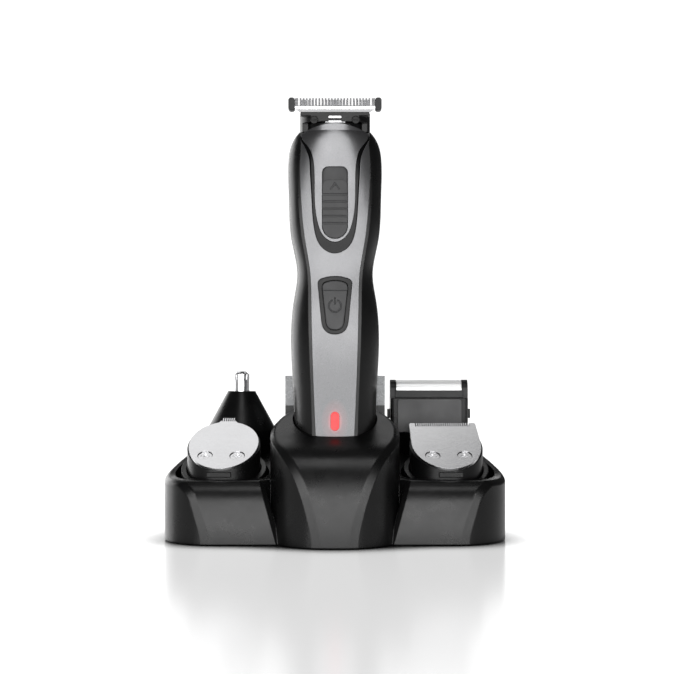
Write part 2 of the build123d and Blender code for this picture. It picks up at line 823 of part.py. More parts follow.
def detail_plate():
    """Oval plate whose narrow tip carries the teeth."""
    root = plate_reach * math.sqrt(1 - (detail_shoulder / plate_half) ** 2)
    middle = (detail_tip_half + 0.8, root + 3.4)
    flare = Spline((detail_shoulder, root), middle, (detail_tip_half, detail_tip), tangents=[(-1, 0.45), (-0.15, 1)])
    tip_edge = Line((detail_tip_half, detail_tip), (0, detail_tip))
    tip = symmetric_face([flare, tip_edge, Line((detail_shoulder, root), (0, root))])
    upper = Ellipse(plate_half, plate_reach) & Pos(0, 50) * Rectangle(60, 100)
    return finish_plate(upper + plate_front() + tip, detail_teeth, detail_tip)


def wide_plate():
    """Plate with a straight toothed edge and a round foot."""
    edge = wide_tip - 0.6
    sides = Polyline((0, 0), (plate_half, 0), (wide_half_top, edge), (wide_half_top - 0.6, wide_tip), (0, wide_tip))
    return finish_plate(plate_front() + symmetric_face(sides.edges()), wide_teeth, wide_tip)


def slanted_cutter(half, tip, teeth):
    """Moving blade under a slanted plate, with a block that reaches down into the head."""
    strip_tip = tip - 0.9
    strip_middle = Pos(0, (strip_foot + strip_tip) / 2)
    strip_shape = Rectangle(2 * half, strip_tip - strip_foot)
    strip = extrude(plate_plane() * strip_middle * strip_shape, amount=-cutter_thickness - 0.05)
    gaps = Sketch()
    for i in range(teeth):
        x = (i - (teeth - 1) / 2) * tooth_pitch
        gaps = gaps + Pos(x, tip - 1.2) * Rectangle(tooth_gap, 1.8)
    strip = strip - extrude(plate_plane() * gaps, amount=-3)
    driver = extrude(plate_plane() * Pos(0, strip_foot - 2.0) * Rectangle(10, 7.0), amount=-2.6)
    return strip + driver - extrude(plate_plane() * Rectangle(80, 80), amount=-0.05)


def cutter_relief(tip):
    """Room on top of the housing for the moving blade."""
    middle = Pos(0, (strip_foot - 1.0 + tip + 4.0) / 2)
    return extrude(plate_plane() * middle * Rectangle(40, tip + 5.0 - strip_foot), amount=-cutter_thickness - 0.3)


def plate_screws():
    screws = Part()
    for x, along in plate_screw_places():
        at = plate_plane() * Pos(x, along)
        head = extrude(at * Circle(plate_screw_radius - 0.25), amount=plate_thickness - 0.35)
        slot = extrude(at * Rectangle(0.7, 3.6), amount=3) + extrude(at * Rectangle(3.6, 0.7), amount=3)
        keep = extrude(at * Circle(plate_screw_radius - 0.2), amount=plate_thickness - 0.8)
        screws = screws + (head - (slot - keep))
    return solids_of(screws)


# ================================================================ nose head
def nose_housing():
    collar = collar_base(collar_radius, cone_foot)
    profile = Polyline((0, cone_foot), (collar_radius, cone_foot), (cone_top_radius, cone_top), (0, cone_top), close=True)
    plane = Plane.XZ
    cone = revolve(plane * make_face(profile), Axis.Z)
    bore = cylinder(tube_radius + 0.05, cone_top - 6, cone_top + 1)
    drive = cylinder(rotor_radius + 0.3, cone_foot - 2, cone_top + 1)
    return collar + cone - bore - drive


def nose_tube():
    """Steel guard tube with a domed, slotted end."""
    dome = Pos(0, 0, tube_top - tube_radius) * Sphere(tube_radius)
    outer = cylinder(tube_radius, cone_top - 6, tube_top - 1.6) + only(dome, tube_top - 1.6, tube_top - 0.4)
    inner_radius = tube_radius - tube_wall
    inner = cylinder(inner_radius, cone_top - 7, tube_top - 1.7)
    slots = Part()
    for i in range(tube_slots // 2):
        turn = Rot(0, 0, 180.0 * i / (tube_slots // 2) + 45)
        slot = block(-10, 10, -tube_slot_width / 2, tube_slot_width / 2, tube_top - tube_slot_depth, tube_top + 1)
        slots = slots + turn * slot
    hub = cylinder(1.2, tube_top - 1.7, tube_top + 1)
    return outer - inner - slots + (only(dome, tube_top - 1.7, tube_top - 0.4) & hub)


def nose_rotor():
    """Spinning cutter inside the tube."""
    stem = cylinder(1.2, cone_foot - 1.5, tube_top - 6)
    top = tube_top - 2.0
    wing = block(-rotor_radius, rotor_radius, -0.4, 0.4, tube_top - 7, top)
    cross = block(-0.4, 0.4, -rotor_radius, rotor_radius, tube_top - 7, top)
    return (stem + wing + cross) & cylinder(rotor_radius, cone_foot - 2, top)


# ================================================================ foil head
def foil_base():
    collar = collar_base(collar_radius, foil_block_foot + 1)
    body = Pos(0, 0, (foil_block_foot + foil_block_top) / 2) * extrude(
        RectangleRounded(2 * foil_half, 2 * foil_depth, 4.0), (foil_block_top - foil_block_foot) / 2, both=True
    )
    body = body - block(-foil_half - 1, foil_half + 1, -foil_depth - 1, -foil_depth + 1.4, foil_block_foot - 1,
                        foil_block_top + 1) + block(-foil_half + 1.4, foil_half - 1.4, -foil_depth + 1.0,
                                                    -foil_depth + 1.5, foil_block_foot, foil_block_top)
    well_half = foil_half - foil_post
    well = block(-well_half, well_half, -4.4, 4.4, foil_block_top - 8, foil_block_top + 1)
    drive = cylinder(3.0, foil_block_foot - 12, foil_block_top)
    post_room = Part()
    for side in (-1, 1):
        edge = side * (foil_half - foil_post)
        outer = side * (foil_half + 1)
        low, high = min(edge, outer), max(edge, outer)
        post_room = post_room + block(low, high, -4.6, 4.6, foil_block_top - foil_post_drop - 0.2, foil_block_top + 1)
        release_low, release_high = release_span()
        post_room = post_room + block(min(side * release_low, side * 25), max(side * release_low, side * 25),
                                      -2.7, 2.7, release_high[0] - 0.2, release_high[1] + 0.2)
    return collar + body - well - drive - post_room


def release_span():
    """Inner face of a release button, and its lowest and highest points."""
    middle = foil_block_top - foil_post_drop - 0.5 - release_half_height
    inner = foil_half - 4.0
    return inner, (middle - release_half_height, middle + release_half_height)


def release_button(side):
    inner, (low, high) = release_span()
    outer = foil_half + release_out
    start = inner + release_travel + slide_gap
    shape = block(start, outer, -2.4, 2.4, low, high)
    return shape if side > 0 else mirror(shape, about=Plane.YZ)


def foil_front_plate():
    """Satin cover on the front of the foil head."""
    low, high = foil_block_foot + 1.1, foil_block_top - 0.3
    outline = Pos(0, (low + high) / 2) * RectangleRounded(2 * (foil_half - 3.1), high - low, 1.2)
    return front_prism(outline, -foil_depth - 0.2, -foil_depth + 1.0)


def foil_cassette():
    """Two end posts joined by a rail each side; the foil arches between the posts."""
    cassette = Part()
    foot = foil_block_top - foil_post_drop
    for side in (-1, 1):
        edge = side * (foil_half - foil_post + 0.1)
        outer = side * foil_half
        low, high = min(edge, outer), max(edge, outer)
        post = block(low, high, -4.4, 4.4, foot, foil_top - foil_arch)
        cap = rod(foil_arch - 0.2, (low, 0, foil_top - foil_arch), (high, 0, foil_top - foil_arch))
        cassette = cassette + post + cap
    for side in (-1, 1):
        y_out, y_in = side * 4.9, side * (foil_arch - 0.35)
        rail = block(-foil_half + foil_post - 0.5, foil_half - foil_post + 0.5, min(y_out, y_in), max(y_out, y_in),
                     foil_block_top + 0.1, foil_block_top + rail_height)
        cassette = cassette + rail
    return cassette


def foil_sheet():
    """Thin arched foil, open underneath."""
    half = foil_half - foil_post - 0.1
    centre = foil_top - foil_arch
    outer = rod(foil_arch - 0.4, (-half, 0, centre), (half, 0, centre)) & block(-40, 40, -9, 9, centre, foil_top)
    skirt = block(-half, half, -foil_arch + 0.4, foil_arch - 0.4, foil_block_top + 1.0, centre)
    inner = rod(foil_arch - 0.4 - foil_thickness, (-half - 1, 0, centre), (half + 1, 0, centre))
    inner_low = block(-half - 1, half + 1, -foil_arch + 0.4 + foil_thickness, foil_arch - 0.4 - foil_thickness,
                      foil_block_top, centre)
    return outer + skirt - inner - inner_low


def foil_cutter():
    """Block of thin arched blades under the foil."""
    half = foil_half - foil_post - cutter_stroke - 0.4
    centre = foil_top - foil_arch
    radius = foil_arch - 0.4 - foil_thickness - 0.25
    base = block(-half, half, -2.4, 2.4, foil_block_top - 1.5, foil_block_top + 1.6)
    stem = block(-3.0, 3.0, -2.4, 2.4, foil_block_top - 6.5, foil_block_top - 1.0)
    cutter = base + stem
    count = 16
    for i in range(count):
        x = -half + 0.3 + i * (2 * half - 0.6) / (count - 1)
        disc = rod(radius, (x - 0.25, 0, centre), (x + 0.25, 0, centre))
        blade = (disc & block(-30, 30, -10, 10, centre, foil_top)) + block(x - 0.25, x + 0.25, -2.2, 2.2,
                                                                            foil_block_top + 1.5, centre + 0.1)
        cutter = cutter + blade
    return cutter


# ================================================================ guide comb
def comb_frame():
    """Black frame that the comb clips into, and that stands in the stand's well."""
    outer = block(-comb_half, comb_half, comb_front, comb_front + comb_depth, comb_foot + seat_gap, comb_frame_top)
    inner = block(-comb_half + comb_wall, comb_half - comb_wall, comb_front + comb_wall,
                  comb_front + comb_depth - comb_wall, comb_foot - 1, comb_frame_top + 1)
    front_window = block(-comb_half + 6, comb_half - 6, comb_front - 1, comb_front + comb_depth + 1,
                         comb_foot + 10, comb_frame_top - 4)
    return outer - inner - front_window


def guide_comb():
    """Smoky comb: a front plate, a foot rail and a row of rounded teeth behind."""
    low, top = comb_frame_top, comb_top
    back = comb_front + comb_depth
    plate = block(-comb_half, comb_half, comb_front, comb_front + comb_wall, low, top)
    plate = plate - block(-comb_half + 3.5, comb_half - 3.5, comb_front - 1, comb_front + 3, low + 3.0, top - 3.2)
    rail = block(-comb_half, comb_half, back - comb_wall, back, low, low + 2.4)
    comb = plate + rail
    profile = make_face([
        Line((comb_front, low), (back, low)),
        Line((back, low), (back, low + 2.4)),
        Spline((back, low + 2.4), (back - 4.0, top - 2.6), (comb_front, top), tangents=[(0, 1), (-1, 0.1)]),
        Line((comb_front, top), (comb_front, low)),
    ])
    for i in range(comb_teeth):
        x = -comb_half + comb_tooth / 2 + i * (2 * comb_half - comb_tooth) / (comb_teeth - 1)
        tooth = side_prism(profile, x - comb_tooth / 2, x + comb_tooth / 2)
        if 0 < i < comb_teeth - 1:
            tooth = tooth - block(x - 2, x + 2, comb_front + 3.2, back - 3.4, low - 1, top - 6.4)
        comb = comb + tooth
    return comb


# ================================================================ stand
def tower_profile(inset):
    """Side view of the tower: a front that rolls back to the brow, and a rim that rises to the back."""
    foot = foot_gap if inset == 0 else -5.0
    back = tower_back + 10
    front_points = [(y + inset, z - inset * z / 50) for y, z in tower_front]
    brow = front_points[-1]
    rise = brow[1] + tower_slope * (back - brow[0])
    front = Spline((front_points[0][0], foot), *front_points, tangents=[(0, 1), (1, tower_slope)])
    edges = [front, Line(brow, (back, rise)), Line((back, rise), (back, foot))]
    return make_face(edges + [Line((back, foot), (front_points[0][0], foot))])


def tower_solid(inset=0.0):
    radius = tower_radius - inset
    foot = foot_gap if inset == 0 else -5.0
    core = cylinder(radius, foot, 90, 0, tower_y) & side_prism(tower_profile(inset), -60, 60)
    if inset > 0:
        return core
    core = chamfer(apron_edges(core), apron_chamfer)
    return fillet(rim_edges(core, tower_front[-1][1] - 1), rim_round)


def apron_edges(solid):
    """The edges that run up the two sides of an apron."""
    slanting = [edge for edge in solid.edges() if edge.bounding_box().max.Y < -20]
    return [edge for edge in slanting if edge.bounding_box().size.Z > 1.5 and edge.bounding_box().size.X > 0.4]


def rim_edges(solid, low):
    """The long outer edges of a top surface."""
    high = [edge for edge in solid.edges() if edge.bounding_box().min.Z > low]
    return [edge for edge in high if edge.bounding_box().size.Y > 5 and edge.length > 15]


def pod_profile(inset):
    """Side view of a pod: a leaning front with a rolled top edge, and a top that rises behind the front heads."""
    foot = foot_gap if inset == 0 else -5.0
    drop = [(y + inset * front, z - inset * top) for (y, z), front, top in zip(pod_front, (1, 1, 0.7), (0, 0, 0.7))]
    top = [(y, z - inset) for y, z in pod_top]
    front = Spline((drop[0][0], foot), *drop, tangents=[(0, 1), (1, 1)])
    roll = Spline(drop[-1], top[0], tangents=[(1, 1), (1, 0)])
    rise = Spline(*top, tangents=[(1, 0), (1, 0.05)])
    end = top[-1]
    edges = [front, roll, rise, Line(end, (end[0], foot)), Line((end[0], foot), (drop[0][0], foot))]
    return make_face(edges)


def pod_plan(side, inset):
    """Plan of one pod: the hull of a circle round each of its two heads."""
    front = Pos(side * pod_x, dock_y) * Circle(pod_radius - inset)
    rear = Pos(side * rear_x, rear_y) * Circle(rear_radius - inset)
    return make_hull(front.edges() + rear.edges())


def pod_solid(side, inset=0.0):
    foot = foot_gap if inset == 0 else -5.0
    core = extrude(Pos(0, 0, foot) * pod_plan(side, inset), amount=80) & side_prism(pod_profile(inset), -90, 90)
    if inset > 0:
        return core
    outer = [edge for edge in apron_edges(core) if abs(edge.center().X) > pod_x]
    core = chamfer(outer, apron_chamfer)
    return fillet(rim_edges(core, pod_front[-1][1] + 1.5), rim_round)


def bridge_solid(inset=0.0):
    """Body between the pods, behind and beside the tower."""
    foot = foot_gap if inset == 0 else -5.0
    core = block(-rear_x, rear_x, bridge_front + inset, bridge_back - inset, foot, 80)
    profile = side_prism(pod_profile(inset), -90, 90)
    body = core & profile
    for side in (-1, 1):
        apron = gore(side, foot, inset) & profile
        if inset == 0:
            inner = [edge for edge in apron_edges(apron) if abs(edge.center().X) < pod_x - 10]
            apron = chamfer(inner, apron_chamfer)
        body = body + apron
    return body


def gore(side, foot, inset):
    """The apron between a pod and the tower: it narrows towards its top, away from the tower."""
    rings = []
    for z, inner in ((foot, gore_foot), (40.0, gore_foot + 40.0 * gore_lean)):
        corners = [(pod_x, -60), (inner + inset, -60), (inner + inset, bridge_front + 5), (pod_x, bridge_front + 5)]
        rings.append(Wire(Polyline(*[(side * x, y, z) for x, y in corners], close=True).edges()))
    return Solid.make_loft(rings, True)


stand_cache = {}


def stand_solid(inset=0.0):
    if inset not in stand_cache:
        body = bridge_solid(inset) + pod_solid(-1, inset) + pod_solid(1, inset)
        stand_cache[inset] = body + tower_solid(inset)
    return stand_cache[inset]


def dock_hole():
    """Socket for the handset: its own form with a clearance."""
    hole = only(handset_body(-dock_clearance), 0, 45)
    return Pos(0, dock_y, dock_seat) * hole


def front_cup(side):
    """Collar round a front head: it stands proud of the pod at its back and sides."""
    radius = collar_radius + cup_clearance + cup_wall
    cup = cylinder(radius, front_seat - cup_floor, 60, side * pod_x, dock_y)
    return cup & below_slope(cup_rim, cup_slope, dock_y)


def rear_cup(side):
    radius = collar_radius + cup_clearance + cup_wall
    return cylinder(radius, rear_seat - cup_floor, 60, side * rear_x, rear_y) & stand_solid()


def moat(side):
    """Crescent pocket between a front cup and the pod's rim."""
    middle_x = side * (pod_x + moat_shift * 0.5)
    ring = cylinder(moat_radius, pod_rim - moat_depth, 60, middle_x, dock_y + moat_shift)
    return ring - cylinder(collar_radius + cup_clearance + cup_wall, 0, 70, side * pod_x, dock_y)


def seat_boss(x, y, seat):
    """Low boss that stands in a head's recess."""
    return cylinder(spigot_radius, seat - 0.5, seat + spigot_height, x, y) - cylinder(spigot_bore, 0, 60, x, y)


def dock_pocket():
    """Wall and floor round the handset's socket."""
    outer = only(handset_body(-dock_clearance - cup_wall), 0, 45)
    foot = Face(handset_wire(handset_sections[0], -dock_clearance - cup_wall))
    floor = extrude(Pos(0, 0, -cup_floor) * foot, amount=cup_floor + 0.2)
    return Pos(0, dock_y, dock_seat) * (outer + floor)


def comb_well(grow=0.0):
    clear = 0.35 + grow
    return block(-comb_half - clear, comb_half + clear, comb_front - clear, comb_front + comb_depth + clear,
                 comb_foot - grow, 60)


def jack_place():
    return (0.0, bridge_back, jack_height)


def stand_cover():
    outer = stand_solid()
    shell = outer - stand_solid(stand_wall)
    for x, y in base_screw_places():
        shell = shell + (cylinder(3.0, foot_gap + base_thickness, 60, x, y) & outer)
    for side in (-1, 1):
        middle = side * (pod_x + moat_shift * 0.5)
        moat_wall = cylinder(moat_radius + 1.6, pod_rim - moat_depth - 1.6, 60, middle, dock_y + moat_shift)
        shell = shell + (moat_wall & outer) - moat(side)
        shell = shell + front_cup(side) + rear_cup(side)
    shell = shell + (dock_pocket() & outer) + (comb_well(1.8) & outer)
    for side in (-1, 1):
        inner = collar_radius + cup_clearance
        shell = shell - cylinder(inner, front_seat, 90, side * pod_x, dock_y)
        shell = shell - cylinder(inner, rear_seat, 90, side * rear_x, rear_y)
        shell = shell + seat_boss(side * pod_x, dock_y, front_seat) + seat_boss(side * rear_x, rear_y, rear_seat)
    shell = shell - dock_hole() - comb_well()
    for x in contact_places():
        shell = shell - cylinder(pin_radius + 0.15, 0, dock_seat + 1, x, dock_y)
    for x, y in base_screw_places():
        shell = shell - cylinder(1.45, 0, 10.0, x, y)
    x, y, z = jack_place()
    return shell - rod(jack_barrel + 0.15, (x, y - 5, z), (x, y + 5, z))


def foot_places():
    return [(-52.0, -18.0), (52.0, -18.0), (-44.0, 30.0), (44.0, 30.0)]


def base_screw_places():
    return [(-30.0, -22.0), (30.0, -22.0), (-24.0, 32.0), (24.0, 32.0)]


def stand_base():
    plate = only(stand_solid(stand_wall + 0.15), foot_gap, foot_gap + base_thickness)
    for x, y in base_screw_places():
        plate = plate - cylinder(1.6, 0, 9, x, y) - cylinder(3.0, 0, foot_gap + 1.0, x, y)
    for x, y in foot_places():
        plate = plate - cylinder(foot_radius, 0, foot_gap + 0.6, x, y)
    for x, y in ((-17.0, -10.0), (17.0, -10.0), (-17.0, 20.0), (17.0, 20.0)):
        plate = plate + cylinder(2.2, foot_gap + 0.6, board_seat, x, y)
    return plate


def stand_feet():
    feet = Part()
    for x, y in foot_places():
        feet = feet + cylinder(foot_radius - 0.05, 0, foot_gap + 0.6, x, y)
    return solids_of(feet)


def stand_screws():
    screws = Part()
    for x, y in base_screw_places():
        head = cylinder(2.7, foot_gap + 0.1, foot_gap + 0.9, x, y)
        shank = cylinder(1.4, foot_gap + 0.9, 9.0, x, y)
        slot = block(x - 1.6, x + 1.6, y - 0.35, y + 0.35, 0, foot_gap + 0.5)
        screws = screws + (head + shank - slot)
    return solids_of(screws)


def pin_block():
    """Insulating block under the socket that guides the charge pins."""
    top = dock_seat - cup_floor
    body = block(-8.5, 8.5, dock_y - 5, dock_y + 5, top - 8.0, top)
    for x in contact_places():
        body = body - cylinder(pin_radius + 0.15, top - 6.0, top + 1, x, dock_y)
    return body


def charge_pins():
    """Sprung pins that touch the handset's contacts."""
    pins = Part()
    top = dock_seat + 0.4
    for x in contact_places():
        pins = pins + cylinder(pin_radius, dock_seat - cup_floor - 4.6, top, x, dock_y)
    return solids_of(pins)


def stand_board():
    return block(-20, 20, -14, 34, board_seat, board_seat + 1.4)


def power_jack():
    """Barrel inlet; its centre pin starts behind the stated bore."""
    x, y, z = jack_place()
    barrel = rod(jack_barrel, (x, y - jack_length, z), (x, y, z))
    body = block(x - 5.5, x + 5.5, y - jack_length - 0.5, y - stand_wall - 0.2, board_seat + 1.4, z + 5.0)
    body = body - rod(jack_barrel, (x, y - stand_wall - 0.3, z), (x, y + 2, z))
    bore = rod(jack_bore, (x, y - jack_bore_length, z), (x, y + 1, z))
    inner = rod(jack_bore - 0.35, (x, y - jack_bore_length - 4.5, z), (x, y, z))
    pin = rod(0.7, (x, y - jack_bore_length - 4.6, z), (x, y - jack_bore_length - 0.3, z))
    return barrel + body - bore - inner + pin


# ================================================================ placing and writing the nodes
def on_handset(shape):
    return Pos(0, dock_y, dock_seat) * shape


def front_head(shape, side):
    return Pos(side * pod_x, dock_y, front_seat) * (Rot(0, 0, side * head_yaw) * shape)


def rear_head(shape, side):
    return Pos(side * rear_x, rear_y, rear_seat) * shape


def write(name, shape):
    solids = shape.solids()
    node = solids[0] if len(solids) == 1 else Compound(children=list(solids))
    export_step(node, os.path.join("parts", name + ".step"))


def handset_nodes():
    makers = [
        rear_shell, front_shell, face_panel, shield_panel, groove_trim, slide_track, slide_pad, slide_carriage,
        button_bezel, power_button, status_lens, chassis, battery_cell, cell_contacts, circuit_board, tact_switch,
        motor_can, motor_cam, neck_collar, charge_contacts, case_screws, tee_housing, tee_fixed_blade,
        tee_moving_blade, tee_end_caps, tee_spring_plate, tee_screws,
    ]
    return {maker.__name__: on_handset(maker()) for maker in makers}


def stored_head_nodes():
    left, right = -1, 1
    return {
        "detail_housing": front_head(slanted_housing() - cutter_relief(detail_tip), left),
        "detail_plate": front_head(detail_plate(), left),
        "detail_cutter": front_head(slanted_cutter(3.0, detail_tip, detail_teeth - 1), left),
        "detail_screws": front_head(plate_screws(), left),
        "wide_housing": front_head(slanted_housing() - cutter_relief(wide_tip), right),
        "wide_plate": front_head(wide_plate(), right),
        "wide_cutter": front_head(slanted_cutter(11.6, wide_tip, wide_teeth - 2), right),
        "wide_screws": front_head(plate_screws(), right),
        "nose_housing": rear_head(nose_housing(), left),
        "nose_tube": rear_head(nose_tube(), left),
        "nose_rotor": rear_head(nose_rotor(), left),
        "foil_base": rear_head(foil_base(), right),
        "foil_front_plate": rear_head(foil_front_plate(), right),
        "foil_cassette": rear_head(foil_cassette(), right),
        "foil_sheet": rear_head(foil_sheet(), right),
        "foil_cutter": rear_head(foil_cutter(), right),
        "foil_release_left": rear_head(release_button(-1), right),
        "foil_release_right": rear_head(release_button(1), right),
    }


def stand_nodes():
    makers = [stand_cover, stand_base, stand_feet, stand_screws, pin_block, charge_pins, stand_board, power_jack,
              comb_frame, guide_comb]
    return {maker.__name__: maker() for maker in makers}


def main():
    os.makedirs("parts", exist_ok=True)
    for nodes in (handset_nodes(), stored_head_nodes(), stand_nodes()):
        for name, shape in nodes.items():
            write(name, shape)


main()
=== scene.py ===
import json
import math

import bpy
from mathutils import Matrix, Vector

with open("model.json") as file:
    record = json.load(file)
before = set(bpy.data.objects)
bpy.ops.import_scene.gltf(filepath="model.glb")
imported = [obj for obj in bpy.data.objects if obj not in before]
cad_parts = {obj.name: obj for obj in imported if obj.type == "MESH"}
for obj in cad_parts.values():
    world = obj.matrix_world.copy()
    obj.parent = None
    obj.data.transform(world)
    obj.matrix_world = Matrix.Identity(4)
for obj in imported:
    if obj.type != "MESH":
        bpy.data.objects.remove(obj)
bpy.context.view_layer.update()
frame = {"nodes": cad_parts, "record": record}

MM = 0.001
DOCK_Y = -8.0 * MM  # the trimmer's axis
DOCK_Z = 22.0 * MM  # the trimmer's foot
LAMP_Y = DOCK_Y - 15.0 * MM  # the status light's middle
LAMP_Z = DOCK_Z + 28.9 * MM
GLOW_REACH = 6 * MM  # how far the light's glow spreads over the paint
GLOW_SQUEEZE = (1, 0.2, 0.62)  # depth counts little in that reach, and height less than width

GRAIN_DEPTH = 0.03 * MM  # relief that the light sees but the mesh doesn't have
WAVE_DEPTH = 0.2 * MM
SCRATCH_DEPTH = 0.02 * MM
DIMPLE_DEPTH = 0.04 * MM
DEEP_BLACK = (0.003, 0.003, 0.0031)

FLOOR_SIDE = 12  # metres, as is all of the stage
FLOOR_FRONT = -12
FLOOR_BACK = 3
CONTACT_REACH = 22 * MM  # how far from the stand the painted contact shadow reaches
CARD_LEFT = -0.76  # the white card behind the object
CARD_RIGHT = 0.74
CARD_TOP = 1.2
CARD_Y = 2.6
WORLD_GREY = (0.5, 0.5, 0.5, 1)
WORLD_STRENGTH = 0.12

CAMERA_X = 0.85 * MM
CAMERA_DISTANCE = 0.7  # in front of the trimmer's axis
CAMERA_Z = 86 * MM
CAMERA_LENS = 87.86  # mm, on a sensor as wide as SENSOR_WIDTH
SENSOR_WIDTH = 36
CLIP_START = 0.01

# ---------------------------------------------------------------- node helpers


class Shader:
    """A material's node tree, with short ways to add nodes. Mapping is in row-frame metres."""

    def __init__(self, name):
        self.material = bpy.data.materials.new(name)
        self.material.use_nodes = True
        self.tree = self.material.node_tree
        self.tree.nodes.clear()
        self.out = self.add("ShaderNodeOutputMaterial")
        self.coords = self.add("ShaderNodeTexCoord")

    def add(self, kind, **settings):
        node = self.tree.nodes.new(kind)
        for key, value in settings.items():
            setattr(node, key, value)
        return node

    def link(self, source, target):
        self.tree.links.new(source, target)

    def mapping(self, scale):
        node = self.add("ShaderNodeMapping")
        node.inputs["Scale"].default_value = scale
        self.link(self.coords.outputs["Object"], node.inputs["Vector"])
        return node.outputs["Vector"]

    def noise(self, scale, detail=4.0, rough=0.6, stretch=(1, 1, 1)):
        """A 0 to 1 pattern, with about scale features to the metre before the stretch."""
        node = self.add("ShaderNodeTexNoise")
        node.inputs["Scale"].default_value = scale
        node.inputs["Detail"].default_value = detail
        node.inputs["Roughness"].default_value = rough
        self.link(self.mapping(stretch), node.inputs["Vector"])
        return node.outputs["Fac"]

    def ramp(self, source, stops):
        """Maps a 0 to 1 value through grey or colour stops."""
        node = self.add("ShaderNodeValToRGB")
        elements = node.color_ramp.elements
        while len(elements) < len(stops):
            elements.new(0.5)
        for element, (position, value) in zip(elements, stops):
            element.position = position
            colour = value if isinstance(value, tuple) else (value, value, value)
            element.color = (*colour, 1)
        self.link(source, node.inputs["Fac"])
        return node.outputs["Color"]

    def bump(self, source, strength, distance, under=None):
        """Relief from a 0 to 1 pattern, laid over the normal under it."""
        node = self.add("ShaderNodeBump")
        node.inputs["Strength"].default_value = strength
        node.inputs["Distance"].default_value = distance
        self.link(source, node.inputs["Height"])
        if under is not None:
            self.link(under, node.inputs["Normal"])
        return node.outputs["Normal"]

    def rounded(self, radius):
        """Soft edges, as a moulded or ground edge has."""
        node = self.add("ShaderNodeBevel", samples=6)
        node.inputs["Radius"].default_value = radius
        return node.outputs["Normal"]

    def principled(self, **values):
        """The surface itself. An underscore in a name stands for the socket's space."""
        node = self.add("ShaderNodeBsdfPrincipled")
        for key, value in values.items():
            socket = node.inputs[key.replace("_", " ")]
            if isinstance(value, bpy.types.NodeSocket):
                self.link(value, socket)
            else:
                socket.default_value = value
        self.link(node.outputs["BSDF"], self.out.inputs["Surface"])


def scaled(colour, factor):
    return tuple(min(1.0, c * factor) for c in colour)


def moulded(name, colour, rough, grain=0.25, grain_size=2600, edge=0.35, coat=0.0, spread=0.25, ior=1.46):
    """Moulded plastic or rubber: fine grain, patchy sheen, faint waves. A low ior dims the sheen."""
    s = Shader(name)
    patches = s.noise(38, 5, 0.65)
    base = s.ramp(patches, [(0.3, scaled(colour, 1 - spread)), (0.7, scaled(colour, 1 + spread))])
    roughness = s.ramp(s.noise(90, 6, 0.7), [(0.25, max(rough - 0.06, 0.02)), (0.75, rough + 0.07)])
    normal = s.rounded(edge * MM)
    normal = s.bump(s.noise(grain_size, 2, 0.5), 0.25 * grain, GRAIN_DEPTH, normal)
    normal = s.bump(s.noise(45, 1, 0.4), 0.03, WAVE_DEPTH, normal)
    s.principled(Base_Color=base, Roughness=roughness, Normal=normal, IOR=ior, Coat_Weight=coat,
                 Coat_Roughness=0.12)
    return s.material


def ground_steel(name, colour=(0.62, 0.62, 0.63), rough=0.26, along="x", edge=0.12, scratch=0.1):
    """Steel with a fine ground grain along one axis."""
    s = Shader(name)
    stretch = {"x": (25, 2200, 2200), "y": (2200, 25, 2200), "z": (2200, 2200, 25)}[along]
    lines = s.noise(4, 3, 0.6, stretch)
    base = s.ramp(s.noise(30, 4, 0.6), [(0.3, scaled(colour, 0.96)), (0.7, scaled(colour, 1.04))])
    roughness = s.ramp(lines, [(0.3, rough - 0.03), (0.7, rough + 0.05)])
    normal = s.bump(lines, scratch, SCRATCH_DEPTH, s.rounded(edge * MM))
    s.principled(Base_Color=base, Metallic=1.0, Roughness=roughness, Normal=normal)
    return s.material


def silver_paint():
    """Metallic paint: tiny flakes under a soft clear layer, with the status light's red glow painted on
    around it.
    """
    s = Shader("silver_paint_look")
    flakes = s.noise(5200, 2, 0.5)
    base = s.ramp(flakes, [(0.35, (0.096, 0.096, 0.099)), (0.65, (0.138, 0.138, 0.142))])
    roughness = s.ramp(s.noise(70, 5, 0.6), [(0.3, 0.29), (0.7, 0.35)])
    normal = s.bump(flakes, 0.08, GRAIN_DEPTH, s.rounded(0.25 * MM))
    # painted light: the status light's red glow, as emission on the paint that fades away from the light
    reach = s.add("ShaderNodeVectorMath", operation="DISTANCE")
    s.link(s.mapping(GLOW_SQUEEZE), reach.inputs[0])
    reach.inputs[1].default_value = (0, GLOW_SQUEEZE[1] * LAMP_Y, GLOW_SQUEEZE[2] * LAMP_Z)
    spread = s.add("ShaderNodeMath", operation="MULTIPLY")
    spread.inputs[1].default_value = 1 / GLOW_REACH
    s.link(reach.outputs["Value"], spread.inputs[0])
    fading = [(0.25, (0.75, 0.05, 0.05)), (0.55, (0.13, 0.01, 0.01)), (1.0, (0, 0, 0))]
    glow = s.ramp(spread.outputs["Value"], fading)
    s.principled(Base_Color=base, Metallic=0.85, Roughness=roughness, Normal=normal, Coat_Weight=0.25,
                 Coat_Roughness=0.18, Emission_Color=glow, Emission_Strength=0.55)
    return s.material


def lit_lens():
    """Red plastic, lit from inside and slightly uneven."""
    s = Shader("lens_red_look")
    glow = s.ramp(s.noise(260, 3, 0.5), [(0.3, (1.0, 0.06, 0.065)), (0.7, (1.0, 0.085, 0.09))])
    s.principled(Base_Color=(0.20, 0.008, 0.008, 1), Emission_Color=glow, Emission_Strength=0.83,
                 Roughness=0.45, Normal=s.rounded(0.4 * MM))
    return s.material


